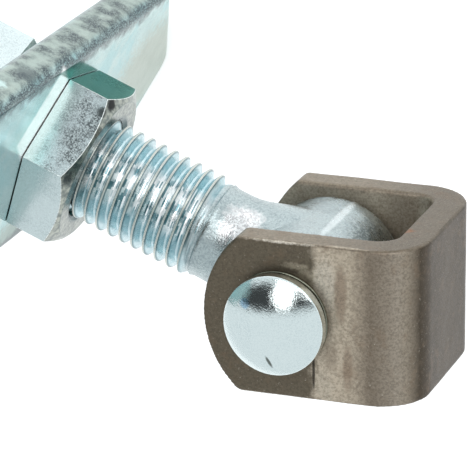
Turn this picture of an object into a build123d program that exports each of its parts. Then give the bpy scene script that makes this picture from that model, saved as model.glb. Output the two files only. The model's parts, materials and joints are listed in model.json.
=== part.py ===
# Adjustable gate hinge: an M20 eyebolt, clamped through an end plate by two jam nuts,
# carries a bent U-bracket on a riveted hinge pin.
# Frame: +X runs along the bolt from the plate to the eye, +Z runs along the hinge pin
# towards its domed head, and the origin is where the bolt's axis leaves the plate's back face.

from build123d import *
from math import cos, pi, radians, sin, tan
import os

# Fits
running_clearance = 0.05
plate_hole_play = 1.0

# Bolt: M20 x 2.5, with the thread drawn as its plain outside diameter
thread_diameter = 20.0
thread_tail = 35.0
thread_end_chamfer = 1.5
pin_reach = 64.5
thread_stop = 22.5
runout_length = 1.2
neck_diameter = 18.2
neck_stop = 18.4

# Forged eye: a barrel on the pin, blended into the round neck
eye_diameter = 26.8
eye_width = 25.6
eye_edge_chamfer = 1.4
haunch_reach = 13.0
haunch_width = 21.0
haunch_height = 20.2
shoulder_reach = 8.0
shoulder_width = 24.4
shoulder_height = 23.4
blend_depth = 3.0

# Jam nuts, chamfered on one side only
nut_sides = 6
nut_across_flats = 30.0
nut_thickness = 10.0
nut_chamfer_angle = 30.0
nut_face_diameter = 28.4
nut_countersink_diameter = 21.8
nut_countersink_angle = 120.0
front_nut_turn = 18.6
rear_nut_turn = 5.0

# End plate: round-edged flat bar with both ends brought to a blunt point
plate_thickness = 8.0
plate_width = 44.0
plate_point_length = 123.0
plate_taper_length = 18.6
plate_nose_radius = 5.0
plate_edge_radius = 2.4

# Wall of the gate's stile, between the plate and the rear nut
stile_wall = 3.0

# U-bracket: one flat bar bent twice
bar_height = 30.0
bar_thickness = 6.2
bracket_gap = 26.8
web_reach = 19.6
inner_bend_radius = 4.2
outer_bend_radius = 9.6
nose_reach = 14.8
nose_radius = 20.0
bar_edge_break = 0.4
bracket_angle = 22.5

# Hinge pin: a domed rivet, closed over the far ear
pin_diameter = 12.0
collar_diameter = 16.6
collar_height = 1.5
head_diameter = 19.0
head_rim_height = 2.1
head_dome_height = 3.2
closed_head_diameter = 17.0
closed_head_rim = 0.6
closed_face_diameter = 12.0
closed_face_height = 2.2

# Places and planes that the pieces share
ear_outside = bracket_gap / 2 + bar_thickness
bracket_x = (cos(radians(bracket_angle)), sin(radians(bracket_angle)), 0)
into_bar = (sin(radians(bracket_angle)), -cos(radians(bracket_angle)), 0)
pin_centre = (pin_reach, 0, 0)
pin_plane = Plane(origin=pin_centre, x_dir=bracket_x, z_dir=(0, 0, 1))
bar_plane = Plane(origin=pin_centre, x_dir=bracket_x, z_dir=into_bar)


def bolt_station(reach: float) -> Plane:
    """The cross-section plane at this distance from the pin's axis, back towards the plate."""
    return Plane.YZ.offset(pin_reach - reach)


def jam_nut(seat: Plane, turn: float) -> BuildPart:
    """A thin hexagon nut standing on its seat plane, chamfered on the side away from it."""
    flat = nut_across_flats / 2
    corner = flat / cos(pi / nut_sides)
    face = nut_face_diameter / 2
    drop = (corner - face) * tan(radians(nut_chamfer_angle))
    outer_face = seat.offset(nut_thickness)
    lathe = Plane(origin=seat.origin, x_dir=seat.x_dir, z_dir=-seat.y_dir)
    with BuildPart() as nut:
        with BuildSketch(seat):
            RegularPolygon(flat, nut_sides, major_radius=False, rotation=turn)
        extrude(amount=nut_thickness)
        with BuildSketch(lathe):
            with BuildLine():
                Polyline(
                    (0, 0),
                    (corner + drop, 0),
                    (corner + drop, nut_thickness - drop),
                    (corner, nut_thickness - drop),
                    (face, nut_thickness),
                    (0, nut_thickness),
                    close=True,
                )
            make_face()
        revolve(axis=Axis(seat.origin, seat.z_dir), mode=Mode.INTERSECT)
        with Locations(outer_face):
            CounterSinkHole(
                thread_diameter / 2 + running_clearance,
                nut_countersink_diameter / 2,
                counter_sink_angle=nut_countersink_angle,
            )
    return nut


with BuildPart() as mounting_plate:
    half_width = plate_width / 2
    point = plate_point_length / 2
    shoulder = point - plate_taper_length
    with BuildSketch(Plane.YZ) as plate_outline:
        with BuildLine():
            Polyline(
                (half_width, -shoulder),
                (half_width, shoulder),
                (0, point),
                (-half_width, shoulder),
                (-half_width, -shoulder),
                (0, -point),
                close=True,
            )
        make_face()
        by_height = plate_outline.vertices().group_by(Axis.Y)
        fillet(by_height[0] + by_height[-1], plate_nose_radius)
    extrude(amount=plate_thickness)
    back_to_front = mounting_plate.faces().sort_by(Axis.X)
    fillet(back_to_front[0].edges() + back_to_front[-1].edges(), plate_edge_radius)
    with BuildSketch(Plane.YZ):
        Circle(thread_diameter / 2 + plate_hole_play)
    extrude(amount=plate_thickness, mode=Mode.SUBTRACT)

front_jam_nut = jam_nut(Plane.YZ.offset(plate_thickness), front_nut_turn)
rear_seat = Plane(origin=(-stile_wall, 0, 0), x_dir=(0, 1, 0), z_dir=(-1, 0, 0))
rear_jam_nut = jam_nut(rear_seat, rear_nut_turn)

with BuildPart() as eyebolt:
    with BuildSketch(Plane.YZ.offset(-thread_tail)):
        Circle(thread_diameter / 2)
    extrude(amount=thread_tail + pin_reach - thread_stop)
    chamfer(eyebolt.edges().sort_by(Axis.X)[0], thread_end_chamfer)
    with BuildSketch(bolt_station(thread_stop)):
        Circle(thread_diameter / 2)
    with BuildSketch(bolt_station(thread_stop - runout_length)):
        Circle(neck_diameter / 2)
    loft()
    with BuildSketch(bolt_station(thread_stop - runout_length)):
        Circle(neck_diameter / 2)
    extrude(amount=thread_stop - runout_length - neck_stop)
    with BuildSketch(bolt_station(neck_stop)):
        Ellipse(neck_diameter / 2, neck_diameter / 2)
    with BuildSketch(bolt_station(haunch_reach)):
        Ellipse(haunch_height / 2, haunch_width / 2)
    with BuildSketch(bolt_station(shoulder_reach)):
        Ellipse(shoulder_height / 2, shoulder_width / 2)
    with BuildSketch(bolt_station(blend_depth)):
        Ellipse(shoulder_height / 2, shoulder_width / 2)
    loft()
    with BuildSketch(pin_plane):
        Circle(eye_diameter / 2)
    extrude(amount=eye_width / 2, both=True)
    by_height = eyebolt.faces().sort_by(Axis.Z)
    chamfer(by_height[0].edges() + by_height[-1].edges(), eye_edge_chamfer)
    with BuildSketch(pin_plane):
        Circle(pin_diameter / 2 + running_clearance)
    extrude(amount=eye_width, both=True, mode=Mode.SUBTRACT)

with BuildPart() as u_bracket:
    web_outside = web_reach + bar_thickness
    along_bar = Axis(pin_centre, bracket_x)
    with BuildSketch(bar_plane) as outer_outline:
        with BuildLine():
            Polyline(
                (-nose_reach, ear_outside),
                (web_outside, ear_outside),
                (web_outside, -ear_outside),
                (-nose_reach, -ear_outside),
                close=True,
            )
        make_face()
        bends = outer_outline.vertices().sort_by(along_bar)[-2:]
        fillet(bends, outer_bend_radius)
    extrude(amount=bar_height / 2, both=True)
    with BuildSketch(bar_plane) as inner_outline:
        with BuildLine():
            Polyline(
                (-nose_reach, bracket_gap / 2),
                (web_reach, bracket_gap / 2),
                (web_reach, -bracket_gap / 2),
                (-nose_reach, -bracket_gap / 2),
                close=True,
            )
        make_face()
        bends = inner_outline.vertices().sort_by(along_bar)[-2:]
        fillet(bends, inner_bend_radius)
    extrude(amount=bar_height / 2, both=True, mode=Mode.SUBTRACT)
    nose_centre = nose_radius - nose_reach
    with BuildSketch(pin_plane):
        with Locations((nose_centre, 0)):
            Circle(nose_radius)
            Rectangle(web_outside - nose_centre, bar_height, align=(Align.MIN, Align.CENTER))
    extrude(amount=ear_outside, both=True, mode=Mode.INTERSECT)
    with BuildSketch(pin_plane):
        Circle(pin_diameter / 2 + running_clearance)
    extrude(amount=ear_outside, both=True, mode=Mode.SUBTRACT)
    across_bar = u_bracket.edges().group_by(Axis(pin_centre, into_bar))
    chamfer(across_bar[0] + across_bar[-1], bar_edge_break)

with BuildPart() as hinge_pin:
    head_seat = ear_outside + collar_height
    head_rim = head_seat + head_rim_height
    with BuildSketch(bar_plane):
        with BuildLine():
            outline = Polyline(
                (0, -ear_outside - closed_face_height),
                (closed_face_diameter / 2, -ear_outside - closed_face_height),
                (closed_head_diameter / 2, -ear_outside - closed_head_rim),
                (closed_head_diameter / 2, -ear_outside),
                (pin_diameter / 2, -ear_outside),
                (pin_diameter / 2, ear_outside),
                (collar_diameter / 2, ear_outside),
                (collar_diameter / 2, head_seat),
                (head_diameter / 2, head_seat),
                (head_diameter / 2, head_rim),
            )
            dome = TangentArc(
                (0, head_rim + head_dome_height),
                outline @ 1,
                tangent=(1, 0),
            )
            Line(dome @ 0, outline @ 0)
        make_face()
    revolve(axis=Axis(pin_centre, (0, 0, 1)))

mounting_plate.part.label = "mounting_plate"
front_jam_nut.part.label = "front_jam_nut"
rear_jam_nut.part.label = "rear_jam_nut"
eyebolt.part.label = "eyebolt"
u_bracket.part.label = "u_bracket"
hinge_pin.part.label = "hinge_pin"

os.makedirs("parts", exist_ok=True)
export_step(mounting_plate.part, "parts/mounting_plate.step")
export_step(front_jam_nut.part, "parts/front_jam_nut.step")
export_step(rear_jam_nut.part, "parts/rear_jam_nut.step")
export_step(eyebolt.part, "parts/eyebolt.step")
export_step(u_bracket.part, "parts/u_bracket.step")
export_step(hinge_pin.part, "parts/hinge_pin.step")
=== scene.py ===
import json
from math import atan2, cos, exp, hypot, pi, radians, sin, tan

import bmesh
import bpy
from mathutils import Matrix, Vector, noise


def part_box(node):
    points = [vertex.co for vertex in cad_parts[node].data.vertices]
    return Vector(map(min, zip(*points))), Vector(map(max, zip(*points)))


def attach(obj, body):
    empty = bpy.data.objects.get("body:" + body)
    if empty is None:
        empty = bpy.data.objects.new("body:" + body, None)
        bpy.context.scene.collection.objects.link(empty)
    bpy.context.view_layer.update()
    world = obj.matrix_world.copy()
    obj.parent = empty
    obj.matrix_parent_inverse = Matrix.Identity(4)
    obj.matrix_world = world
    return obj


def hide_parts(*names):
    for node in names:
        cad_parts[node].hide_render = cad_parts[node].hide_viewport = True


bl_info = {
    "name": "Adjustable gate hinge",
    "version": (1, 0, 0),
    "blender": (4, 5, 0),
    "location": "3D View > Sidebar > Hinge",
    "description": "Dresses the adjustable gate hinge: rolled thread, forged eye, bent bracket and studio",
    "category": "Object",
}

MM = 0.001
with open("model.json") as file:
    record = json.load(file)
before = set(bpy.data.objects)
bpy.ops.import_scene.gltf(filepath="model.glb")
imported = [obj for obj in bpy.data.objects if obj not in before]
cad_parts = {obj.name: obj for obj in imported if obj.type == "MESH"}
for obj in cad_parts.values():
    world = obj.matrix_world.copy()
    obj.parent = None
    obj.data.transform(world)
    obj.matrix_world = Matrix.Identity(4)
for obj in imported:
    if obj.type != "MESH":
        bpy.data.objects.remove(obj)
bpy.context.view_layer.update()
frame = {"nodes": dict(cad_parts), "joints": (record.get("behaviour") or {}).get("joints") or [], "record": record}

PIN_X = next(j for j in frame["joints"] if j["name"] == "bracket_swing")["pos_m"][0]
WELD_AXIS = Vector(next(m for m in frame["record"]["mounts"] if m["name"] == "post_weld_face")["axis"])
WELD_ANGLE = atan2(WELD_AXIS.y, WELD_AXIS.x)
THREAD_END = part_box("eyebolt")[0].x
PLATE_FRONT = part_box("mounting_plate")[1].x
EAR_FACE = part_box("u_bracket")[1].z
PITCH = 2.5 * MM
CREST_RADIUS = 10.0 * MM
THREAD_STOP = 40.6 * MM
CUT_TOLERANCE = 0.0005 * MM
WELD_DISTANCE = 0.001 * MM

# Marks on the bracket, and a painted shadow line on the web: middle and reach in millimetres from the pin,
# along the bar, across it and up, with a strength and a colour
BAR_MARKS_AND_SHADOW = (
    ((8.6, 7.5, 19.6), (2.6, 6.5, 1.5), 0.8, "D3C9BA"),
    ((2.9, 10.6, 19.6), (3.2, 0.8, 1.0), 0.6, "A39885"),
    ((5.0, 8.6, 19.6), (2.2, 2.4, 1.0), 0.5, "A39885"),
    ((8.4, -12.0, 19.6), (2.4, 4.0, 1.5), 0.6, "C2B7A6"),
    ((11.6, 6.0, 19.6), (1.5, 7.0, 1.5), 0.5, "7B6250"),
    ((13.0, -8.0, 19.6), (1.2, 6.0, 1.5), 0.45, "7B6250"),
    ((9.8, -6.0, 19.6), (1.6, 3.5, 1.5), 0.4, "6E5F50"),
    ((6.5, -9.0, 19.6), (0.35, 5.0, 1.0), 0.9, "2E2A25"),
    ((20.0, 15.0, 6.8), (1.8, 1.5, 1.6), 0.9, "8F6240"),
    ((0.5, 15.2, 19.6), (11.0, 0.8, 0.5), 0.95, "E9E1D3"),
    ((12.0, 15.2, 19.0), (6.0, 0.7, 0.7), 0.6, "CFC3B0"),
    # A painted shadow line down the web's outer face, at the bar's edge
    ((25.8, 15.0, 0.0), (0.5, 0.5, 14.0), 0.8, "37322C"),
)
# Painted dark reflections on the front nut's cone, and marks, painted reflections and a painted highlight on the
# plate, from the frame's origin
NUT_DARK_REFLECTIONS = (
    ((17.0, 15.4, 4.6), (1.5, 1.7, 2.0), 1.0, "1E2021"),
    ((16.7, 14.5, 7.4), (1.6, 1.3, 1.6), 0.85, "3A4040"),
    ((16.7, 2.8, 15.2), (1.6, 2.0, 1.6), 0.85, "3F4748"),
)
PLATE_MARKS_AND_PAINTED_LIGHT = (
    # A painted reflection of the nut's teal flat, beside the nut
    ((8.0, 17.8, 7.0), (2.0, 3.0, 3.6), 0.85, "7ED2CB"),
    ((8.0, 2.0, -46.0), (3.0, 16.0, 24.0), 0.9, "A6AFA3"),
    ((8.0, -19.5, 3.0), (5.0, 10.0, 15.0), 0.95, "7F958D"),
    # A painted highlight on the plate's upper rounded corner, and a painted dark reflection beside it
    ((2.5, 22.2, 32.5), (3.0, 2.0, 2.6), 0.7, "CFE9E7"),
    ((5.0, 21.6, 24.0), (3.0, 2.2, 3.4), 0.65, "3C4A50"),
)
# Painted light and shade in bands round the bends: colours along the bar's outside, by millimetres past
# the bend's middle
BEND_LIGHT_BANDS = (
    (-12.0, "CDBFAC"), (-6.5, "C2B4A1"), (-2.2, "85796B"), (4.0, "A3988A"), (6.5, "9A8F80"),
    (10.8, "423A2F"), (15.0, "40372B"), (25.0, "4F463A"),
)
# The middle of the tool's dent in the pin's head, from the pin's axis
DENT_PLACE = (2.3 * MM, -5.8 * MM, 0.0)
# The side of the thread where glints are painted, round the bolt's axis from the horizontal
GLINT_SIDE = radians(62)
# Lamps: name, direction from the object, distance, width and height in metres, brightness
LAMPS = (
    ("key_lamp", (-0.15, 0.50, 0.85), 0.60, (0.30, 0.46), 2.4),
    ("back_lamp", (0.28, 0.79, 0.54), 0.60, (0.30, 0.34), 2.2),
)
# The dark strip of the studio on both sides of the key lamp, as mirrors see it: the directions along it,
# across it and towards it, its half length, half width and shift as cosines, and how dark it is
SHADE_ALONG = (0.863, 0.492, 0.115)
SHADE_ACROSS = (-0.42, 0.826, -0.379)
SHADE_TOWARDS = (-0.28, 0.28, 0.92)
SHADE_LENGTH = 0.98
SHADE_WIDTH = 0.36
SHADE_OFFSET = 0.06
SHADE_STRENGTH = 0.90
MIRRORED_WHITE = 0.96


class HingeSizes(bpy.types.PropertyGroup):
    """Real sizes of the details that are finer than the solids."""

    pitch: bpy.props.FloatProperty(
        name="Thread pitch", description="Distance from crest to crest of the M20 thread",
        default=PITCH, subtype="DISTANCE", precision=5)
    major_radius: bpy.props.FloatProperty(
        name="Thread radius", description="Radius over the thread's crests",
        default=CREST_RADIUS, subtype="DISTANCE", precision=5)
    minor_radius: bpy.props.FloatProperty(
        name="Root radius", description="Radius in the bottom of the thread's groove",
        default=8.466 * MM, subtype="DISTANCE", precision=5)
    neck_radius: bpy.props.FloatProperty(
        name="Neck radius", description="Radius of the plain neck that the thread fades into",
        default=9.1 * MM, subtype="DISTANCE", precision=5)
    thread_turn: bpy.props.FloatProperty(
        name="Thread turn", description="Angle at which the first crest starts",
        default=radians(188.6), subtype="ANGLE")
    edge_break: bpy.props.FloatProperty(
        name="Edge break", description="Rounding left on the nuts' edges by plating and handling",
        default=0.28 * MM, subtype="DISTANCE", precision=5)
    nut_flat: bpy.props.FloatProperty(
        name="Nut's flat", description="Distance from the bolt's axis to a flat of the nut",
        default=15.0 * MM, subtype="DISTANCE", precision=5)
    front_nut_turn: bpy.props.FloatProperty(
        name="Front nut's turn", description="Angle of the front nut's first corner from the horizontal",
        default=radians(18.6), subtype="ANGLE")
    rear_nut_turn: bpy.props.FloatProperty(
        name="Rear nut's turn", description="Angle of the rear nut's first corner from the horizontal",
        default=radians(5.0), subtype="ANGLE")


class HingeColours(bpy.types.PropertyGroup):
    """Main colours of the bare steel, as sRGB hex values."""

    steel_scale: bpy.props.StringProperty(
        name="Steel, scale", description="Hot-rolled steel under its mill scale", default="6B6254")
    # Painted light: a lighter tone that lifts the shade on the bracket's inner faces
    steel_inside_lit: bpy.props.StringProperty(
        name="Steel, rubbed", description="Hot-rolled steel where the dies have rubbed it", default="B5A897")


class HingeStage(bpy.types.PropertyGroup):
    """Camera, lamps, the soft light from all round and the floor's glow."""

    camera_place: bpy.props.FloatVectorProperty(
        name="Camera place", description="Where the camera stands, from the bolt's axis at the plate's back",
        default=(163.87 * MM, 289.29 * MM, 583.72 * MM), subtype="TRANSLATION")
    camera_turn: bpy.props.FloatVectorProperty(
        name="Camera turn", description="The camera's rotation",
        default=(radians(-19.787), radians(20.279), radians(21.854)), subtype="EULER")
    lens: bpy.props.FloatProperty(
        name="Lens", description="Focal length on a 36 mm sensor", default=272.14, unit="CAMERA")
    lamp_level: bpy.props.FloatProperty(
        name="Lamp level", description="Brightness of all lamps together", default=1.0)
    sky: bpy.props.FloatProperty(
        name="Sky", description="Strength of the soft light from all round", default=0.80)
    floor_glow: bpy.props.FloatProperty(
        name="Floor glow", description="What the floor adds to read as white", default=0.45)


def linear(hex_colour):
    """A linear RGBA colour from an sRGB hex value."""
    channels = [int(hex_colour[i:i + 2], 16) / 255 for i in (0, 2, 4)]
    return [c / 12.92 if c <= 0.04045 else ((c + 0.055) / 1.055) ** 2.4 for c in channels] + [1.0]


def node(tree, kind, inputs=None, **settings):
    """Add a shader node with its settings, its inputs fed from values, hex colours, sockets or nodes."""
    new = tree.nodes.new(kind)
    for name, value in settings.items():
        setattr(new, name, value)
    for key, value in (inputs or {}).items():
        socket = new.inputs[key] if isinstance(key, int) else next(
            s for s in new.inputs if s.enabled and s.name == key)
        if isinstance(value, bpy.types.Node):
            value = next(s for s in value.outputs if s.enabled)
        if isinstance(value, bpy.types.NodeSocket):
            tree.links.new(value, socket)
        else:
            socket.default_value = linear(value) if isinstance(value, str) else value
    return new


def per(size_mm):
    """A texture scale that gives features of this size in millimetres."""
    return 1 / (size_mm * MM)


def new_material(name):
    """An empty node material: its tree, its Object coordinates and its Principled shader."""
    material = bpy.data.materials.new(name)
    material.use_nodes = True
    tree = material.node_tree
    tree.nodes.clear()
    place = node(tree, "ShaderNodeTexCoord").outputs["Object"]
    shader = node(tree, "ShaderNodeBsdfPrincipled")
    node(tree, "ShaderNodeOutputMaterial", {"Surface": shader})
    return material, tree, place, shader


def spots(tree, place, size_mm, start, end, strength=1.0):
    """Irregular spots of this size in millimetres, from 0 between them to a strength in them."""
    noise_map = node(tree, "ShaderNodeTexNoise", {
        "Vector": place, "Scale": per(size_mm), "Detail": 4.0, "Roughness": 0.68})
    return node(tree, "ShaderNodeMapRange", {
        "Value": noise_map, "From Min": start, "From Max": end, "To Max": strength},
        interpolation_type="SMOOTHSTEP")


def blot(tree, place, centre_mm, reach_mm, strength=1.0, ragged=0.5, break_mm=1.2):
    """A ragged patch round a point: its strength at the middle, 0 beyond its reach along each axis."""
    centre, shrink = [c * MM for c in centre_mm], [per(r) for r in reach_mm]
    offset = node(tree, "ShaderNodeVectorMath", {0: place, 1: centre}, operation="SUBTRACT")
    shrunk = node(tree, "ShaderNodeVectorMath", {0: offset, 1: shrink}, operation="MULTIPLY")
    length = node(tree, "ShaderNodeVectorMath", {0: shrunk}, operation="LENGTH")
    edge = node(tree, "ShaderNodeTexNoise", {
        "Vector": place, "Scale": per(break_mm), "Detail": 4.0, "Roughness": 0.65})
    torn = node(tree, "ShaderNodeMath", {0: edge, 1: 2 * ragged, 2: length}, operation="MULTIPLY_ADD")
    return node(tree, "ShaderNodeMapRange", {
        "Value": torn, "From Min": 1.0 + ragged, "From Max": 0.45 + ragged, "To Max": strength},
        interpolation_type="SMOOTHSTEP")


def marked(tree, place, colour, marks):
    """Lay a list of ragged marks over a colour."""
    for centre, reach, strength, tone in marks:
        mark = blot(tree, place, centre, reach, strength, 0.45, 0.9)
        colour = node(tree, "ShaderNodeMix", {"Factor": mark, "A": colour, "B": tone}, data_type="RGBA")
    return colour


def from_axis(tree, place):
    """The distance from the bolt's axis."""
    flat = node(tree, "ShaderNodeVectorMath", {0: place, 1: (0.0, 1.0, 1.0)}, operation="MULTIPLY")
    return node(tree, "ShaderNodeVectorMath", {0: flat}, operation="LENGTH")


def bright_zinc(name, light, dark, roughness, cloud_mm, grain_mm, grain_depth, dull_share=0.6, ripple=None):
    """Electroplated zinc with a blue passivation: a pale, cool metal with soft clouds and fine dull grains.

    The real grains are a few hundredths of a millimetre wide, and are drawn coarser so that they show.
    """
    material, tree, place, shader = new_material(name)
    clouds = spots(tree, place, cloud_mm, 0.38, 0.64)
    grains = spots(tree, place, grain_mm, 0.42, 0.62, dull_share)
    share = node(tree, "ShaderNodeMath", {0: clouds, 1: 0.45, 2: 0.35}, operation="MULTIPLY_ADD")
    dull = node(tree, "ShaderNodeMath", {0: share, 1: grains}, operation="MULTIPLY")
    colour = node(tree, "ShaderNodeMix", {"Factor": dull, "A": light, "B": dark}, data_type="RGBA")
    rough = node(tree, "ShaderNodeMapRange", {
        "Value": clouds, "To Min": roughness * 0.85, "To Max": roughness * 1.25})
    tree.links.new(rough.outputs["Result"], shader.inputs["Roughness"])
    fine = node(tree, "ShaderNodeTexNoise", {
        "Vector": place, "Scale": per(grain_mm), "Detail": 3.0, "Roughness": 0.6})
    height = node(tree, "ShaderNodeTexNoise", {"Vector": place, "Scale": per(grain_mm * 5), "Detail": 2.0})
    height = node(tree, "ShaderNodeMath", {0: height, 1: 1.5, 2: fine}, operation="MULTIPLY_ADD")
    if ripple is not None:
        height = ripple(tree, place, height)
    bump = node(tree, "ShaderNodeBump", {"Height": height, "Strength": 1.0, "Distance": grain_depth * MM})
    tree.links.new(bump.outputs["Normal"], shader.inputs["Normal"])
    shader.inputs["Metallic"].default_value = 1.0
    return material, tree, place, shader, colour


def painted_reflection_patch(tree, place):
    """1 on the plate's front beside a flat of the nut, where the lit flat's reflection is painted white; 0
    elsewhere.
    """
    out_way, side_way = (0.0, 0.66, 0.75), (0.0, -0.75, 0.66)
    inner, outer, half_width, middle = 10 * MM, 22.2 * MM, 8.2 * MM, 0.5 * MM
    soft_edge, torn_edge, wander = 1.0 * MM, 1.4 * MM, 1.2 * MM
    outward = node(tree, "ShaderNodeVectorMath", {0: place, 1: out_way}, operation="DOT_PRODUCT")
    beside = node(tree, "ShaderNodeVectorMath", {0: place, 1: side_way}, operation="DOT_PRODUCT")
    beside = node(tree, "ShaderNodeMath", {0: beside, 1: middle}, operation="SUBTRACT")
    beside = node(tree, "ShaderNodeMath", {0: beside}, operation="ABSOLUTE")
    within = node(tree, "ShaderNodeMapRange", {
        "Value": beside, "From Min": half_width + soft_edge, "From Max": half_width})
    torn = node(tree, "ShaderNodeTexNoise", {"Vector": place, "Scale": per(0.8), "Detail": 3.0})
    reach = node(tree, "ShaderNodeMath", {0: torn, 1: wander, 2: outward}, operation="MULTIPLY_ADD")
    reached = node(tree, "ShaderNodeMapRange", {
        "Value": reach, "From Min": outer + torn_edge, "From Max": outer})
    past_nut = node(tree, "ShaderNodeMapRange", {
        "Value": outward, "From Min": inner, "From Max": inner + soft_edge})
    along = node(tree, "ShaderNodeSeparateXYZ", {"Vector": place}).outputs["X"]
    patch = node(tree, "ShaderNodeMapRange", {
        "Value": along, "From Min": PLATE_FRONT - 1.0 * MM, "From Max": PLATE_FRONT - 0.5 * MM})
    for share in (within, reached, past_nut):
        patch = node(tree, "ShaderNodeMath", {0: patch, 1: share}, operation="MULTIPLY")
    return patch


def plate_zinc():
    """Plated flat bar: teal where the passivation is thick, with painted mottled shade along its rolled edges, and
    painted reflections and a painted highlight on its front and upper corner.
    """
    material, tree, place, shader, colour = bright_zinc(
        "plate_zinc", "B6CECC", "7C9EA2", 0.20, 7.0, 0.4, 0.010)
    rim_start, rim_end, strip_wander = 21.3 * MM, 21.9 * MM, 6.0 * MM
    strip_start, strip_full, strip_fading, strip_end = 20.6 * MM, 22.8 * MM, 24.0 * MM, 26.0 * MM
    teal = spots(tree, place, 11.0, 0.42, 0.62, 0.6)
    colour = node(tree, "ShaderNodeMix", {"Factor": teal, "A": colour, "B": "8FC0C4"}, data_type="RGBA")
    colour = marked(tree, place, colour, PLATE_MARKS_AND_PAINTED_LIGHT[:3])
    # Along the long edges: a grey line on the rim, and a mottled dark strip that is painted dark reflection on the
    # rounding
    across = node(tree, "ShaderNodeSeparateXYZ", {"Vector": place}).outputs["Y"]
    across = node(tree, "ShaderNodeMath", {0: across}, operation="ABSOLUTE")
    rim = node(tree, "ShaderNodeMapRange", {
        "Value": across, "From Min": rim_start, "From Max": rim_end, "To Max": 0.85})
    wander = node(tree, "ShaderNodeTexNoise", {"Vector": place, "Scale": per(3.5), "Detail": 4.0})
    torn = node(tree, "ShaderNodeMath", {0: wander, 1: strip_wander, 2: across}, operation="MULTIPLY_ADD")
    inner = node(tree, "ShaderNodeMapRange", {
        "Value": torn, "From Min": strip_start, "From Max": strip_full}, interpolation_type="SMOOTHSTEP")
    outer = node(tree, "ShaderNodeMapRange", {
        "Value": torn, "From Min": strip_end, "From Max": strip_fading}, interpolation_type="SMOOTHSTEP")
    strip = node(tree, "ShaderNodeMath", {0: inner, 1: outer}, operation="MULTIPLY")
    grains = node(tree, "ShaderNodeMath", {
        0: spots(tree, place, 0.32, 0.36, 0.56), 1: 0.6, 2: 0.40}, operation="MULTIPLY_ADD")
    speckled = node(tree, "ShaderNodeMath", {0: strip, 1: grains}, operation="MULTIPLY")
    for share, tone in ((rim, "A2AEA6"), (speckled, "39474D")):
        colour = node(tree, "ShaderNodeMix", {"Factor": share, "A": colour, "B": tone}, data_type="RGBA")
    colour = marked(tree, place, colour, PLATE_MARKS_AND_PAINTED_LIGHT[3:])
    # A painted reflection: the plate's front is painted white where it mirrors the nut's lit flat
    rubbed = painted_reflection_patch(tree, place)
    colour = node(tree, "ShaderNodeMix", {"Factor": rubbed, "A": colour, "B": "FDFEFE"}, data_type="RGBA")
    tree.links.new(colour.outputs[2], shader.inputs["Base Color"])
    # Where the reflection is painted white the metal is made partly diffuse, so that the lamps light the painted
    # reflection too
    metal = node(tree, "ShaderNodeMapRange", {"Value": rubbed, "To Min": 1.0, "To Max": 0.7})
    tree.links.new(metal.outputs["Result"], shader.inputs["Metallic"])
    return material


def nut_zinc(sizes):
    """A forged and tapped nut, barrel-plated: a flat painted dark teal and dark cone patches as painted
    reflections, a pitted flat, painted shade round the hole, a dull cone.
    """
    material, tree, place, shader, colour = bright_zinc(
        "nut_zinc", "D3DFE0", "AEBBBD", 0.22, 6.0, 0.35, 0.012)
    normal = node(tree, "ShaderNodeTexCoord").outputs["Normal"]
    slope = node(tree, "ShaderNodeSeparateXYZ", {"Vector": normal}).outputs["X"]
    slope = node(tree, "ShaderNodeMath", {0: slope}, operation="ABSOLUTE")
    pits = spots(tree, place, 0.28, 0.43, 0.55, 0.9)
    pitted = node(tree, "ShaderNodeMix", {"Factor": pits, "A": "B0BABB", "B": "3A4245"}, data_type="RGBA")
    clear = spots(tree, place, 3.5, 0.40, 0.60, 0.75)
    along = node(tree, "ShaderNodeSeparateXYZ", {"Vector": place}).outputs["X"]
    pitted_from, clean_up_to = PLATE_FRONT + 4.5 * MM, PLATE_FRONT + 1.5 * MM
    by_plate = node(tree, "ShaderNodeMapRange", {
        "Value": along, "From Min": pitted_from, "From Max": clean_up_to, "To Max": 0.9})
    for share, tone in ((clear, "B7C3C5"), (by_plate, "9CADAB")):
        pitted = node(tree, "ShaderNodeMix", {"Factor": share, "A": pitted, "B": tone}, data_type="RGBA")
    # A dark teal flat, a painted reflection, and the pitted flat above it, each with its tint at a glancing view
    glance = "FFFFFF"
    edge_faced, flat_faced = 0.975, 0.995
    for flat, tone, grazed in ((-1, "0F4A41", "D8FBF5"), (0, pitted, "FFFFFF")):
        angle = sizes.front_nut_turn + pi / 6 + flat * pi / 3
        outward = (0, cos(angle), sin(angle))
        faced = node(tree, "ShaderNodeVectorMath", {0: normal, 1: outward}, operation="DOT_PRODUCT")
        mask = node(tree, "ShaderNodeMapRange", {
            "Value": faced, "From Min": edge_faced, "From Max": flat_faced})
        colour = node(tree, "ShaderNodeMix", {"Factor": mask, "A": colour, "B": tone}, data_type="RGBA")
        glance = node(tree, "ShaderNodeMix", {"Factor": mask, "A": glance, "B": grazed}, data_type="RGBA")
    cone = node(tree, "ShaderNodeMapRange", {"Value": slope, "From Min": 0.7, "From Max": 0.84})
    streaks = spots(tree, place, 1.2, 0.36, 0.62)
    streaky = node(tree, "ShaderNodeMix", {
        "Factor": streaks, "A": "A3A89F", "B": "6E7674"}, data_type="RGBA")
    # Painted shade in the countersunk hole round the thread
    sunk_shade = node(tree, "ShaderNodeMapRange", {
        "Value": from_axis(tree, place), "From Min": 11.4 * MM, "From Max": 10.8 * MM})
    for share, tone in ((cone, streaky), (sunk_shade, "3D5557")):
        colour = node(tree, "ShaderNodeMix", {"Factor": share, "A": colour, "B": tone}, data_type="RGBA")
    # The painted dark reflections on the nut's cone
    colour = marked(tree, place, colour, NUT_DARK_REFLECTIONS)
    tree.links.new(colour.outputs[2], shader.inputs["Base Color"])
    tree.links.new(glance.outputs[2], shader.inputs["Specular Tint"])
    return material


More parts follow.
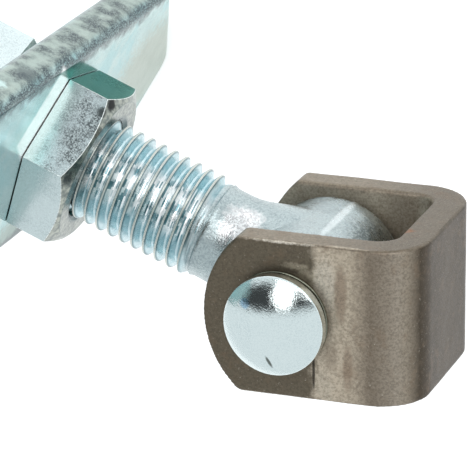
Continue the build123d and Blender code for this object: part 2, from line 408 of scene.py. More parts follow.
def edge_highlight_and_shade_zinc():
    """The nut's edges: painted highlights, lighter than the flats, and painted shade on the edges nearer the axis,
    round the hole, the face and the bearing.
    """
    material, tree, place, shader, colour = bright_zinc(
        "edge_highlight_and_shade_zinc", "E9EDEB", "8E9999", 0.22, 1.0, 0.6, 0.012, 1.0)
    # Painted shade on the edges nearer the axis than the flats
    inside = node(tree, "ShaderNodeMapRange", {
        "Value": from_axis(tree, place), "From Min": 14.8 * MM, "From Max": 14.4 * MM})
    colour = node(tree, "ShaderNodeMix", {"Factor": inside, "A": colour, "B": "6F7B7A"}, data_type="RGBA")
    tree.links.new(colour.outputs[2], shader.inputs["Base Color"])
    return material


def thread_share(tree, place):
    """1 on the bolt's thread, 0 on its end face, neck and eye."""
    plain_neck = 42.4 * MM
    along = node(tree, "ShaderNodeSeparateXYZ", {"Vector": place}).outputs["X"]
    before_neck = node(tree, "ShaderNodeMapRange", {
        "Value": along, "From Min": plain_neck, "From Max": THREAD_STOP})
    past_tail = node(tree, "ShaderNodeMapRange", {
        "Value": along, "From Min": THREAD_END + 0.5 * MM, "From Max": THREAD_END + 1.5 * MM})
    return node(tree, "ShaderNodeMath", {0: before_neck, 1: past_tail}, operation="MULTIPLY")


def rolled_dashes(tree, place):
    """Short lines that follow the thread, as the rolling dies leave them, on the unrolled shank; the same pattern
    gives the painted glints.

    The real lines are finer than this, and are drawn 0.25 mm wide so that they show.
    """
    axes = node(tree, "ShaderNodeSeparateXYZ", {"Vector": place}).outputs
    angle = node(tree, "ShaderNodeMath", {0: axes["Z"], 1: axes["Y"]}, operation="ARCTAN2")
    round_axis = node(tree, "ShaderNodeMath", {0: angle, 1: CREST_RADIUS}, operation="MULTIPLY")
    along = node(tree, "ShaderNodeMath", {
        0: angle, 1: -PITCH / (2 * pi), 2: axes["X"]}, operation="MULTIPLY_ADD")
    unrolled = node(tree, "ShaderNodeCombineXYZ", {"X": round_axis, "Y": along})
    return node(tree, "ShaderNodeTexBrick", {
        "Vector": unrolled, "Color1": "FFFFFF", "Color2": "000000", "Mortar": "808080", "Scale": per(1.0),
        "Mortar Size": 0.0, "Brick Width": 1.7, "Row Height": 0.25}, offset=0.37, offset_frequency=3)


def rolled_ripple(tree, place, height):
    """The dashes as relief in the place of the grain, so that the thread glints in short lines."""
    raised = node(tree, "ShaderNodeMath", {0: rolled_dashes(tree, place), 1: 0.55}, operation="MULTIPLY")
    return node(tree, "ShaderNodeMix", {"Factor": thread_share(tree, place), "A": height, "B": raised})


def bolt_zinc():
    """A forged shank with a rolled thread, plated: grainy on the neck and eye, with painted glints on the thread
    and a painted highlight on the neck.
    """
    material, tree, place, shader, colour = bright_zinc(
        "bolt_zinc", "B3BFC0", "74828A", 0.27, 5.0, 0.40, 0.075, 0.75, rolled_ripple)
    threaded = thread_share(tree, place)
    stained = spots(tree, place, 2.0, 0.4, 0.64, 0.6)
    groove = node(tree, "ShaderNodeMix", {"Factor": stained, "A": "C3D8DD", "B": "9CC3CB"}, data_type="RGBA")
    # Painted glints: white and dark dashes along one side of the thread
    bright = node(tree, "ShaderNodeMapRange", {
        "Value": rolled_dashes(tree, place), "From Min": 0.1, "From Max": 0.4})
    glints = node(tree, "ShaderNodeMix", {"Factor": bright, "A": "6B949D", "B": "FFFFFF"}, data_type="RGBA")
    across = node(tree, "ShaderNodeVectorMath", {0: place, 1: (0.0, 1.0, 1.0)}, operation="MULTIPLY")
    outward = node(tree, "ShaderNodeVectorMath", {0: across}, operation="NORMALIZE")
    glint_way = (0, cos(GLINT_SIDE), sin(GLINT_SIDE))
    glint_band = node(tree, "ShaderNodeVectorMath", {0: outward, 1: glint_way}, operation="DOT_PRODUCT")
    glint_band = node(tree, "ShaderNodeMapRange", {
        "Value": glint_band, "From Min": cos(radians(42)), "From Max": cos(radians(22)), "To Max": 0.95})
    radius = from_axis(tree, place)
    flank = node(tree, "ShaderNodeMapRange", {"Value": radius, "From Min": 9.5 * MM, "From Max": 9.8 * MM})
    crest = node(tree, "ShaderNodeMapRange", {"Value": radius, "From Min": 9.89 * MM, "From Max": 9.96 * MM})
    layers = [(threaded, groove)]
    for share, tone in ((glint_band, glints), (flank, "6E8A90"), (crest, "CDD0CA")):
        share = node(tree, "ShaderNodeMath", {0: share, 1: threaded}, operation="MULTIPLY")
        layers.append((share, tone))
    # A painted highlight, white with pits, on the neck beside the bracket, and the eye is left grey and speckled
    painted_highlight = blot(tree, place, (48.6, 6.6, 6.4), (5.0, 6.0, 5.2), 0.85, 0.5, 1.2)
    pits = spots(tree, place, 0.5, 0.44, 0.60, 0.7)
    pits = node(tree, "ShaderNodeMath", {0: painted_highlight, 1: pits}, operation="MULTIPLY")
    grey = blot(tree, place, (70.5, 11, -2), (6.5, 5, 11), 0.9, 0.5, 1.0)
    speckles = spots(tree, place, 0.4, 0.3, 0.58)
    speckled = node(tree, "ShaderNodeMath", {0: grey, 1: speckles}, operation="MULTIPLY")
    flash = blot(tree, place, (63.4, 13.4, -2), (1.0, 2.5, 14), 0.6, 0.2, 1.0)
    layers += [(painted_highlight, "FFFFFF"), (pits, "A09C9F"), (speckled, "5F6A6B"), (flash, "E4ECED")]
    for share, tone in layers:
        colour = node(tree, "ShaderNodeMix", {"Factor": share, "A": colour, "B": tone}, data_type="RGBA")
    tree.links.new(colour.outputs[2], shader.inputs["Base Color"])
    return material


def pin_zinc():
    """A cold-headed pin, plated: the smoothest piece, so it mirrors the lamps in grainy-edged patches."""
    material, tree, place, shader, colour = bright_zinc(
        "pin_zinc", "E0EAEA", "C2D1D4", 0.09, 6.0, 0.30, 0.027)
    stain = blot(tree, place, (PIN_X / MM - 6.0, 2.4, 25), (1.4, 1.2, 3), 0.7, 0.3, 1.0)
    dent = node(tree, "ShaderNodeMapping", {
        "Vector": place, "Location": (PIN_X + DENT_PLACE[0], DENT_PLACE[1], 25 * MM),
        "Rotation": (0, 0, radians(-47))}, vector_type="TEXTURE")
    dent_mark = blot(tree, dent, (0, 0, 0), (1.7, 0.42, 3), 0.9, 0.2, 0.5)
    # Painted shade under the head: the pin is darker from the head's underside downwards
    height = node(tree, "ShaderNodeSeparateXYZ", {"Vector": place}).outputs["Z"]
    collar = node(tree, "ShaderNodeMapRange", {
        "Value": height, "From Min": EAR_FACE + 1.9 * MM, "From Max": EAR_FACE + 1.5 * MM})
    for share, tone in ((stain, "A4D2F2"), (dent_mark, "4F544D"), (collar, "77786B")):
        colour = node(tree, "ShaderNodeMix", {"Factor": share, "A": colour, "B": tone}, data_type="RGBA")
    tree.links.new(colour.outputs[2], shader.inputs["Base Color"])
    return material


def hot_rolled_steel(colours):
    """Hot-rolled flat bar, bare: brown-grey mill scale, with painted light and shade in bands round the bends,
    painted light on the inner faces and a painted shadow line on the web.
    """
    material, tree, place, shader = new_material("hot_rolled_steel")
    bar = node(tree, "ShaderNodeMapping", {
        "Vector": place, "Location": (PIN_X, 0, 0), "Rotation": (0, 0, WELD_ANGLE)}, vector_type="TEXTURE")
    axes = node(tree, "ShaderNodeSeparateXYZ", {"Vector": bar}).outputs
    height = node(tree, "ShaderNodeMath", {0: axes["Z"]}, operation="ABSOLUTE")
    across = node(tree, "ShaderNodeMath", {0: axes["Y"]}, operation="ABSOLUTE")
    past_bend = node(tree, "ShaderNodeMath", {0: axes["X"], 1: height}, operation="SUBTRACT")
    # Painted light and shade: the bands past the bends, on the bar's outside
    first, last = BEND_LIGHT_BANDS[0][0], BEND_LIGHT_BANDS[-1][0]
    wander = node(tree, "ShaderNodeTexNoise", {"Vector": bar, "Scale": per(5.0), "Detail": 3.0})
    shaken = node(tree, "ShaderNodeMath", {0: wander, 1: 1.6 * MM, 2: past_bend}, operation="MULTIPLY_ADD")
    share = node(tree, "ShaderNodeMapRange", {
        "Value": shaken, "From Min": (first + 0.8) * MM, "From Max": (last + 0.8) * MM})
    light_and_shade_bands = node(tree, "ShaderNodeValToRGB", {"Fac": share})
    for position, tone in BEND_LIGHT_BANDS[1:-1]:
        light_and_shade_bands.color_ramp.elements.new((position - first) / (last - first)).color = linear(tone)
    light_and_shade_bands.color_ramp.elements[0].color = linear(BEND_LIGHT_BANDS[0][1])
    light_and_shade_bands.color_ramp.elements[-1].color = linear(BEND_LIGHT_BANDS[-1][1])
    boundary = node(tree, "ShaderNodeTexNoise", {
        "Vector": bar, "Scale": per(3.2), "Detail": 5.0, "Roughness": 0.6})
    pressed = node(tree, "ShaderNodeMath", {0: boundary, 1: 7.0 * MM, 2: axes["X"]}, operation="MULTIPLY_ADD")
    scaled = node(tree, "ShaderNodeMapRange", {
        "Value": pressed, "From Min": 11.4 * MM, "From Max": 8.8 * MM}, interpolation_type="SMOOTHSTEP")
    # Painted light on the inner faces, lifting their shade
    inside = node(tree, "ShaderNodeMapRange", {"Value": height, "From Min": 13.7 * MM, "From Max": 13.4 * MM})
    outside = node(tree, "ShaderNodeMapRange", {
        "Value": axes["X"], "From Min": 19.8 * MM, "From Max": 20.4 * MM})
    edge = node(tree, "ShaderNodeMapRange", {"Value": across, "From Min": 14.5 * MM, "From Max": 14.8 * MM})
    towards_web = node(tree, "ShaderNodeMapRange", {
        "Value": axes["X"], "From Min": 3 * MM, "From Max": 20 * MM})
    sheared = node(tree, "ShaderNodeMix", {
        "Factor": towards_web, "A": "948979", "B": "756C5F"}, data_type="RGBA")
    colour = light_and_shade_bands
    for share, tone in (
            (scaled, colours.steel_scale), (inside, colours.steel_inside_lit), (outside, light_and_shade_bands), (edge, sheared)):
        colour = node(tree, "ShaderNodeMix", {"Factor": share, "A": colour, "B": tone}, data_type="RGBA")
    colour = marked(tree, bar, colour, BAR_MARKS_AND_SHADOW)
    for size_mm, start, strength, tone in (
            (0.45, 0.42, 0.34, "3F382F"), (1.1, 0.48, 0.30, "6A5D4E"), (3.4, 0.52, 0.32, "7D6854"),
            (0.6, 0.60, 0.50, "D3C9BA")):
        patch = spots(tree, bar, size_mm, start, start + 0.2, strength)
        colour = node(tree, "ShaderNodeMix", {"Factor": patch, "A": colour, "B": tone}, data_type="RGBA")
    bright = spots(tree, place, 0.42, 0.67, 0.74, 0.8)
    colour = node(tree, "ShaderNodeMix", {"Factor": bright, "A": colour, "B": "D9D2C6"}, data_type="RGBA")
    tree.links.new(colour.outputs[2], shader.inputs["Base Color"])
    fine = node(tree, "ShaderNodeTexNoise", {
        "Vector": place, "Scale": per(0.3), "Detail": 5.0, "Roughness": 0.75})
    rough = node(tree, "ShaderNodeMapRange", {
        "Value": fine, "From Min": 0.3, "From Max": 0.7, "To Min": 0.36, "To Max": 0.54})
    tree.links.new(rough.outputs["Result"], shader.inputs["Roughness"])
    bump = node(tree, "ShaderNodeBump", {"Height": fine, "Strength": 1.0, "Distance": 0.03 * MM})
    tree.links.new(bump.outputs["Normal"], shader.inputs["Normal"])
    shader.inputs["Metallic"].default_value = 0.85
    return material


def finish_mesh(bm, name, smooth_angle=radians(32)):
    """Turn a bmesh into a smooth-shaded object at the origin, with its sharp edges kept."""
    bmesh.ops.recalc_face_normals(bm, faces=bm.faces)
    for face in bm.faces:
        face.smooth = True
    for edge in bm.edges:
        edge.smooth = len(edge.link_faces) != 2 or edge.calc_face_angle() < smooth_angle
    mesh = bpy.data.meshes.new(name)
    bm.to_mesh(mesh)
    bm.free()
    piece = bpy.data.objects.new(name, mesh)
    bpy.context.scene.collection.objects.link(piece)
    return piece


def dress(piece, material):
    """Give a piece its one material."""
    piece.data.materials.clear()
    piece.data.materials.append(material)


def stand_in(piece, cad_node, body):
    """Show a piece instead of the solid of this node, moving with its body."""
    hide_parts(cad_node)
    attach(piece, body)


def cut_off(bm, cut_x, way):
    """Cut a bmesh off at a place along X, on the side that the way, 1 or -1, points to."""
    bmesh.ops.bisect_plane(bm, geom=bm.verts[:] + bm.edges[:] + bm.faces[:], dist=CUT_TOLERANCE,
                           plane_co=(cut_x, 0, 0), plane_no=(way, 0, 0), clear_outer=True)


def remeshed(cad_node, voxel, smoothing, cut_x=None):
    """A bmesh of a solid, cut off below a place along X, with its edges and joins softened by voxels."""
    bm = bmesh.new()
    bm.from_mesh(frame["nodes"][cad_node].data)
    bmesh.ops.remove_doubles(bm, verts=bm.verts, dist=WELD_DISTANCE)
    if cut_x is not None:
        cut_off(bm, cut_x, -1)
        rim = [e for e in bm.edges if e.is_boundary]
        bmesh.ops.holes_fill(bm, edges=rim, sides=len(rim) + 1)
    rough = finish_mesh(bm, "rough")
    remesh = rough.modifiers.new("remesh", "REMESH")
    remesh.mode = "VOXEL"
    remesh.voxel_size = voxel
    smooth = rough.modifiers.new("smooth", "SMOOTH")
    smooth.factor = 0.5
    smooth.iterations = smoothing
    depsgraph = bpy.context.evaluated_depsgraph_get()
    depsgraph.update()
    mesh = bpy.data.meshes.new_from_object(rough.evaluated_get(depsgraph), depsgraph=depsgraph)
    bpy.data.objects.remove(rough)
    bm = bmesh.new()
    bm.from_mesh(mesh)
    bm.normal_update()
    return bm


def thread_outline(sizes):
    """One pitch of the thread from root to root, as (along, radius), with the seam that rolling leaves."""
    pitch, top, bottom = sizes.pitch, sizes.major_radius, sizes.minor_radius
    slope = 1 / tan(radians(30))
    flank_foot, flank_head, seam = pitch * 0.14, pitch * 0.43, pitch * 0.485
    half = [
        (0.0, bottom),
        (flank_foot * 0.6, bottom + 0.02 * MM),
        (flank_foot, top - (pitch * 7 / 16 - flank_foot) * slope),
        (flank_head, top - 0.03 * MM),
        (seam - 0.06 * MM, top),
        (seam, top - 0.01 * MM),
        (pitch / 2, top - 0.05 * MM),
    ]
    return half + [(pitch - along, radius) for along, radius in reversed(half[:-1])]


def threaded_shank(sizes):
    """The rolled thread, spun as a helix, chamfered at the tail and fading into the neck at its end."""
    steps = 60
    runout_start, runout_end = THREAD_STOP, 42.5 * MM
    tail_radius = 8.45 * MM
    first = THREAD_END - 2 * sizes.pitch
    turns = round((runout_end - first) / sizes.pitch) + 2
    bm = bmesh.new()
    start = [bm.verts.new((first + along, radius, 0)) for along, radius in thread_outline(sizes)]
    line = [bm.edges.new(pair) for pair in zip(start, start[1:])]
    bmesh.ops.rotate(bm, cent=(0, 0, 0), matrix=Matrix.Rotation(sizes.thread_turn, 3, "X"), verts=start)
    bmesh.ops.spin(bm, geom=start + line, cent=(0, 0, 0), axis=(1, 0, 0), angle=2 * pi * turns,
                   dvec=(sizes.pitch / steps, 0, 0), steps=steps * turns, use_merge=False)
    bmesh.ops.remove_doubles(bm, verts=bm.verts, dist=0.004 * MM)
    for vert in bm.verts:
        radius = hypot(vert.co.y, vert.co.z)
        fade = min(max((vert.co.x - runout_start) / (runout_end - runout_start), 0), 1)
        fade = fade * fade * (3 - 2 * fade)
        wanted = radius + (sizes.neck_radius - radius) * fade
        wanted = min(wanted, max(tail_radius, tail_radius + vert.co.x - THREAD_END))
        vert.co.y *= wanted / radius
        vert.co.z *= wanted / radius
    join_x = runout_end + 0.05 * MM
    cut_off(bm, THREAD_END, -1)
    cut_off(bm, join_x, 1)
    at_tail = {v for v in bm.verts if abs(v.co.x - THREAD_END) < 0.01 * MM}
    tail = [e for e in bm.edges if e.is_boundary and at_tail.issuperset(e.verts)]
    bmesh.ops.holes_fill(bm, edges=tail, sides=len(tail) + 1)
    return bm, join_x


def forged_eye(start_x):
    """The neck and eye with a forging's soft joins, a faint flash line along the barrel and a wavy skin."""
    bm = remeshed("eyebolt", 0.34 * MM, 10, start_x - 3 * MM)
    flash_angle, flash_width, flash_height = radians(94.5), 0.7 * MM, 0.13 * MM
    barrel_skin, bore_skin = 11 * MM, 8 * MM
    wave_mm, wave_height = 4.0, 0.07 * MM
    for vert in bm.verts:
        out = Vector((vert.co.x - PIN_X, vert.co.y, 0))
        reach = out.length
        angle = atan2(out.y, out.x)
        if reach > barrel_skin and angle > 0:
            off = (angle - flash_angle) * reach / flash_width
            vert.co += out.normalized() * flash_height * exp(-off * off)
        if reach > bore_skin and vert.co.x > start_x + 1 * MM:
            vert.co += vert.normal * noise.noise(vert.co * per(wave_mm)) * wave_height
    cut_off(bm, start_x + 0.3 * MM, -1)
    mesh = bpy.data.meshes.new("forged_eye")
    bm.to_mesh(mesh)
    bm.free()
    return mesh


def jam_nut(name, seat_x, outward, turn, sizes, zinc, edge_zinc):
    """A thin nut on its bearing face: a countersunk hole, and flats that meet the cone in curved edges."""
    flat = sizes.nut_flat
    thickness, face, sink, hole = 10 * MM, 14.2 * MM, 10.9 * MM, 10.05 * MM
    bearing_radius, bearing_height = 14.4 * MM, 0.14 * MM
    columns = 16
    slope = tan(radians(30))
    bm = bmesh.new()
    ring = bmesh.ops.create_circle(bm, segments=6 * columns, radius=flat)["verts"]

    def hexagon(vert):
        angle = atan2(vert.co.y, vert.co.x) % (pi / 3) - pi / 6
        return flat / cos(angle)

    def shape(verts, radius_of, height_of):
        for vert in verts:
            radius, height = radius_of(vert), height_of(vert)
            scale = radius / hypot(vert.co.x, vert.co.y)
            vert.co = Vector((vert.co.x * scale, vert.co.y * scale, height))

    rings = [
        (lambda v: hole, lambda v: 0.0),
        (lambda v: hole, lambda v: thickness - (sink - hole) * slope),
        (lambda v: sink, lambda v: thickness),
        (lambda v: face, lambda v: thickness),
        (hexagon, lambda v: thickness - (hexagon(v) - face) * slope),
        (hexagon, lambda v: bearing_height),
        (lambda v: bearing_radius, lambda v: bearing_height),
        (lambda v: bearing_radius, lambda v: 0.0),
        (lambda v: hole, lambda v: 0.0),
    ]
    shape(ring, *rings[0])
    edges = bm.edges[:]
    for radius_of, height_of in rings[1:]:
        made = bmesh.ops.extrude_edge_only(bm, edges=edges)["geom"]
        verts = [g for g in made if isinstance(g, bmesh.types.BMVert)]
        edges = [g for g in made if isinstance(g, bmesh.types.BMEdge) and g.is_boundary]
        shape(verts, radius_of, height_of)
    bmesh.ops.remove_doubles(bm, verts=bm.verts, dist=WELD_DISTANCE)
    bmesh.ops.rotate(bm, cent=(0, 0, 0), matrix=Matrix.Rotation(turn, 3, "Z"), verts=bm.verts)
    bmesh.ops.transform(bm, verts=bm.verts, matrix=Matrix.Translation((seat_x, 0, 0)) @ outward)
    nut = finish_mesh(bm, name, radians(20))
    dress(nut, zinc)
    nut.data.materials.append(edge_zinc)
    bevel = nut.modifiers.new("edge_break", "BEVEL")
    bevel.material = 1
    bevel.width = sizes.edge_break
    bevel.segments = 2
    bevel.limit_method = "ANGLE"
    bevel.angle_limit = radians(22)
    bevel.harden_normals = True
    return nut


def headed_pin():
    """The pin, turned from its outline, with rounded edges, a crowned head and the dent of a tool in it."""
    low, high = (corner.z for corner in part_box("hinge_pin"))
    ear = EAR_FACE
    head, ring, collar, shank, closed = 9.5 * MM, 9.4 * MM, 8.3 * MM, 6.0 * MM, 8.5 * MM
    seat, rim, dome_rings = ear + 1.5 * MM, ear + 3.6 * MM, 32
    closed_face, closed_rim, ring_top, collar_foot = 6.0 * MM, 0.6 * MM, 0.6 * MM, 0.8 * MM
    rise = high - rim
    crown = (head * head + rise * rise) / (2 * rise)
    outline = [
        (0.0, low), (closed_face, low), (closed, -ear - closed_rim), (closed, -ear), (shank, -ear),
        (shank, ear), (ring, ear), (ring, ear + ring_top), (collar, ear + collar_foot), (collar, seat),
        (head, seat), (head, rim),
    ]
    for step in range(1, dome_rings + 1):
        radius = head * (1 - step / dome_rings)
        outline.append((radius, high - crown + (crown * crown - radius * radius) ** 0.5))
    bm = bmesh.new()
    verts = [bm.verts.new((radius, 0, height)) for radius, height in outline]
    line = [bm.edges.new(pair) for pair in zip(verts, verts[1:])]
    bmesh.ops.spin(bm, geom=verts + line, cent=(0, 0, 0), axis=(0, 0, 1), angle=2 * pi, steps=160,
                   use_merge=True)
    bmesh.ops.remove_doubles(bm, verts=bm.verts, dist=WELD_DISTANCE)
    bmesh.ops.recalc_face_normals(bm, faces=bm.faces)
    corners = [e for e in bm.edges if len(e.link_faces) == 2 and e.calc_face_angle() > radians(25)]
    bmesh.ops.bevel(bm, geom=corners, offset=0.22 * MM, offset_type="OFFSET", affect="EDGES",
                    segments=3, profile=0.5, material=-1)
    dent_middle = Vector(DENT_PLACE)
    dent_along = Vector((0.68, -0.73, 0))
    dent_across = Vector((0.73, 0.68, 0))
    dent_length, dent_width, dent_depth = 1.1 * MM, 0.3 * MM, 0.16 * MM
    for vert in bm.verts:
        if vert.co.z > rim:
            off = Vector((vert.co.x, vert.co.y, 0)) - dent_middle
            spread = (off.dot(dent_along) / dent_length) ** 2 + (off.dot(dent_across) / dent_width) ** 2
            vert.co.z -= dent_depth * exp(-spread)
    bmesh.ops.translate(bm, vec=(PIN_X, 0, 0), verts=bm.verts)
    return finish_mesh(bm, "headed_pin", radians(30))


def bent_bar():
    """The bracket as hot-rolled bar: soft edges, a slight wave and a burr along the sheared edge."""
    bm = remeshed("u_bracket", 0.42 * MM, 2)
    across = Vector((-WELD_AXIS.y, WELD_AXIS.x, 0))
    half_height = 15.0 * MM
    long_wave_mm, short_wave_mm, wave_depth = 7.0, 2.5, 0.05 * MM
    burr_mm, burr_width, burr_height = 1.5, 0.5 * MM, 0.18 * MM
    for vert in bm.verts:
        side = (vert.co - Vector((PIN_X, 0, 0))).dot(across)
        wave = noise.noise(vert.co * per(long_wave_mm)) + 0.5 * noise.noise(vert.co * per(short_wave_mm))
        near_edge = (half_height - side) / burr_width
        near_face = (EAR_FACE - vert.co.z) / burr_width
        burr = exp(-near_edge * near_edge - near_face * near_face)
        vert.co -= vert.normal * (wave_depth * (1 + wave) * (1 - burr))
        vert.co += across * burr * burr_height * (1 + noise.noise(vert.co * per(burr_mm)))
    return finish_mesh(bm, "bent_bar", radians(40))


class HINGE_OT_plate(bpy.types.Operator):
    """Finish the end plate"""

    bl_idname = "hinge.plate"
    bl_label = "End plate"

    def execute(self, context):
        dress(frame["nodes"]["mounting_plate"], plate_zinc())
        return {"FINISHED"}


class HINGE_OT_nuts(bpy.types.Operator):
    """Make the two jam nuts"""

    bl_idname = "hinge.nuts"
    bl_label = "Jam nuts"

    def execute(self, context):
        sizes = context.scene.hinge_sizes
        looks = (nut_zinc(sizes), edge_highlight_and_shade_zinc())
        faces_front = Matrix(((0, 0, 1, 0), (1, 0, 0, 0), (0, 1, 0, 0), (0, 0, 0, 1)))
        faces_back = Matrix(((0, 0, -1, 0), (1, 0, 0, 0), (0, -1, 0, 0), (0, 0, 0, 1)))
        front = jam_nut("front_nut_body", PLATE_FRONT, faces_front, sizes.front_nut_turn, sizes, *looks)
        rear_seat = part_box("rear_jam_nut")[1].x
        rear = jam_nut("rear_nut_body", rear_seat, faces_back, sizes.rear_nut_turn, sizes, *looks)
        stand_in(front, "front_jam_nut", "front_nut")
        stand_in(rear, "rear_jam_nut", "rear_nut")
        return {"FINISHED"}


class HINGE_OT_bolt(bpy.types.Operator):
    """Make the forged eyebolt with its rolled thread"""

    bl_idname = "hinge.bolt"
    bl_label = "Eyebolt"

    def execute(self, context):
        sizes = context.scene.hinge_sizes
        bm, join_x = threaded_shank(sizes)
        bm.from_mesh(forged_eye(join_x))
        bmesh.ops.bridge_loops(bm, edges=[e for e in bm.edges if e.is_boundary])
        bolt = finish_mesh(bm, "forged_eyebolt", radians(24))
        dress(bolt, bolt_zinc())
        stand_in(bolt, "eyebolt", "bolt")
        return {"FINISHED"}


class HINGE_OT_bracket(bpy.types.Operator):
    """Make the bent bracket"""

    bl_idname = "hinge.bracket"
    bl_label = "Bracket"

    def execute(self, context):
        bracket = bent_bar()
        dress(bracket, hot_rolled_steel(context.scene.hinge_colours))
        stand_in(bracket, "u_bracket", "bracket")
        return {"FINISHED"}


class HINGE_OT_pin(bpy.types.Operator):
    """Make the hinge pin"""

    bl_idname = "hinge.pin"
    bl_label = "Hinge pin"

    def execute(self, context):
        pin = headed_pin()
        dress(pin, pin_zinc())
        stand_in(pin, "hinge_pin", "bracket")
        return {"FINISHED"}


def backdrop_surface(tree, shader, output, glow):
    """Add a glow that only the camera, mirrors and glass see, so that the backdrop reads as white."""
    rays = node(tree, "ShaderNodeLightPath").outputs
    seen = node(tree, "ShaderNodeMath", {
        0: rays["Is Camera Ray"], 1: rays["Is Glossy Ray"]}, operation="MAXIMUM")
    seen = node(tree, "ShaderNodeMath", {0: seen, 1: rays["Is Transmission Ray"]}, operation="MAXIMUM")
    unlit = node(tree, "ShaderNodeEmission", {"Strength": 0.0})
    lit = node(tree, "ShaderNodeEmission", {"Strength": glow})
    picked = node(tree, "ShaderNodeMixShader", {0: seen, 1: unlit, 2: lit})
    total = node(tree, "ShaderNodeAddShader", {0: shader, 1: picked})
    tree.links.new(total.outputs[0], output.inputs["Surface"])


def studio_world(sky):
    """Soft light from all round: white to the camera and glass, and to mirrors but for a dark strip."""
    world = bpy.data.worlds.new("studio")
    world.use_nodes = True
    tree = world.node_tree
    tree.nodes.clear()
    rays = node(tree, "ShaderNodeLightPath").outputs
    seen = node(tree, "ShaderNodeMath", {
        0: rays["Is Camera Ray"], 1: rays["Is Transmission Ray"]}, operation="MAXIMUM")
    direction = node(tree, "ShaderNodeTexCoord").outputs["Generated"]
    along = node(tree, "ShaderNodeVectorMath", {0: direction, 1: SHADE_ALONG}, operation="DOT_PRODUCT")
    across = node(tree, "ShaderNodeVectorMath", {0: direction, 1: SHADE_ACROSS}, operation="DOT_PRODUCT")
    towards = node(tree, "ShaderNodeVectorMath", {0: direction, 1: SHADE_TOWARDS}, operation="DOT_PRODUCT")
    strip = node(tree, "ShaderNodeCombineXYZ", {"X": along, "Y": across})
    strip = node(tree, "ShaderNodeVectorMath", {0: strip, 1: (0.0, SHADE_OFFSET, 0.0)}, operation="SUBTRACT")
    strip = node(tree, "ShaderNodeVectorMath", {
        0: strip, 1: (1 / SHADE_LENGTH, 1 / SHADE_WIDTH, 0.0)}, operation="MULTIPLY")
    strip = node(tree, "ShaderNodeVectorMath", {0: strip}, operation="LENGTH")
    dark = node(tree, "ShaderNodeMapRange", {
        "Value": strip, "From Min": 1.0, "From Max": 0.75, "To Max": SHADE_STRENGTH},
        interpolation_type="SMOOTHSTEP")
    above = node(tree, "ShaderNodeMapRange", {"Value": towards, "From Min": 0.1, "From Max": 0.3})
    shade = node(tree, "ShaderNodeMath", {0: dark, 1: above}, operation="MULTIPLY")
    tone = node(tree, "ShaderNodeMath", {0: MIRRORED_WHITE, 1: shade}, operation="SUBTRACT")
    white = node(tree, "ShaderNodeBackground", {"Strength": 1.0, "Color": "FFFFFF"})
    plain = node(tree, "ShaderNodeBackground", {"Color": "F4F8FA", "Strength": sky})
    mirrored = node(tree, "ShaderNodeBackground", {"Color": "F2F8FA", "Strength": tone})
    lit = node(tree, "ShaderNodeMixShader", {0: rays["Is Glossy Ray"], 1: plain, 2: mirrored})
    final = node(tree, "ShaderNodeMixShader", {0: seen, 1: lit, 2: white})
    node(tree, "ShaderNodeOutputWorld", {"Surface": final})
    return world


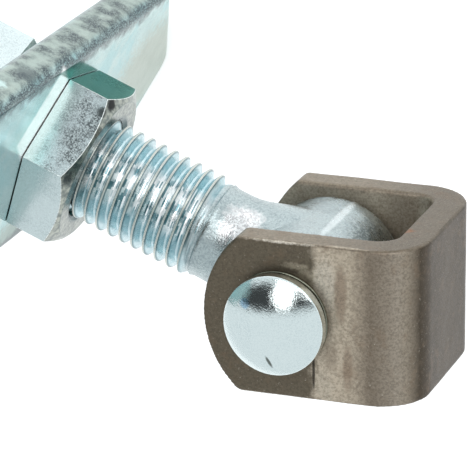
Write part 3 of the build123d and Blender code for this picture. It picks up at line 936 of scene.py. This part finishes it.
class HINGE_OT_stage(bpy.types.Operator):
    """Set the floor, background, lamps and camera"""

    bl_idname = "hinge.stage"
    bl_label = "Studio"

    def execute(self, context):
        scene, stage = context.scene, context.scene.hinge_stage
        scene.view_settings.view_transform = "Standard"
        camera_data = bpy.data.cameras.new("camera")
        camera_data.lens = stage.lens
        camera_data.sensor_width = 36.0
        camera_data.clip_start = 0.01
        camera = bpy.data.objects.new("camera", camera_data)
        camera.location = stage.camera_place
        camera.rotation_euler = stage.camera_turn
        scene.collection.objects.link(camera)
        scene.camera = camera

        bm = bmesh.new()
        bmesh.ops.create_grid(bm, x_segments=1, y_segments=1, size=3.0)
        floor_gap = 0.2 * MM
        floor_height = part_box("mounting_plate")[0].z - floor_gap
        bmesh.ops.translate(bm, vec=(0, 0, floor_height), verts=bm.verts)
        floor = finish_mesh(bm, "floor")
        material, tree, _, shader = new_material("white_floor")
        shader.inputs["Base Color"].default_value = linear("F6F6F6")
        shader.inputs["Roughness"].default_value = 0.9
        shader.inputs["Specular IOR Level"].default_value = 0.1
        output = next(n for n in tree.nodes if n.type == "OUTPUT_MATERIAL")
        backdrop_surface(tree, shader, output, stage.floor_glow)
        floor.data.materials.append(material)

        scene.world = studio_world(stage.sky)
        middle = Vector((PIN_X * 0.7, 0, 0))
        for name, towards, distance, (width, height), glow in LAMPS:
            lamp_data = bpy.data.lights.new(name, "AREA")
            lamp_data.shape = "ELLIPSE"
            lamp_data.size, lamp_data.size_y = width, height
            lamp_data.energy = glow * stage.lamp_level * pi * (pi / 4) * width * height
            lamp = bpy.data.objects.new(name, lamp_data)
            aim = Vector(towards).normalized()
            lamp.location = middle + aim * distance
            lamp.rotation_euler = aim.to_track_quat("Z", "Y").to_euler()
            scene.collection.objects.link(lamp)
        return {"FINISHED"}


class HINGE_PT_panel(bpy.types.Panel):
    """Everything that makes the hinge, in order"""

    bl_idname = "HINGE_PT_panel"
    bl_label = "Gate hinge"
    bl_space_type = "VIEW_3D"
    bl_region_type = "UI"
    bl_category = "Hinge"

    def draw(self, context):
        for step in STEPS:
            self.layout.operator(step.bl_idname)
        for group in (context.scene.hinge_sizes, context.scene.hinge_colours, context.scene.hinge_stage):
            for key in group.__annotations__:
                self.layout.prop(group, key)


STEPS = (HINGE_OT_plate, HINGE_OT_nuts, HINGE_OT_bolt, HINGE_OT_bracket, HINGE_OT_pin, HINGE_OT_stage)
CLASSES = (HingeSizes, HingeColours, HingeStage, *STEPS, HINGE_PT_panel)


def register():
    for each in CLASSES:
        bpy.utils.register_class(each)
    bpy.types.Scene.hinge_sizes = bpy.props.PointerProperty(type=HingeSizes)
    bpy.types.Scene.hinge_colours = bpy.props.PointerProperty(type=HingeColours)
    bpy.types.Scene.hinge_stage = bpy.props.PointerProperty(type=HingeStage)


def unregister():
    del bpy.types.Scene.hinge_stage
    del bpy.types.Scene.hinge_colours
    del bpy.types.Scene.hinge_sizes
    for each in reversed(CLASSES):
        bpy.utils.unregister_class(each)


def main():
    register()
    bpy.ops.hinge.plate()
    bpy.ops.hinge.nuts()
    bpy.ops.hinge.bolt()
    bpy.ops.hinge.bracket()
    bpy.ops.hinge.pin()
    bpy.ops.hinge.stage()


if __name__ == "__main__":
    main()
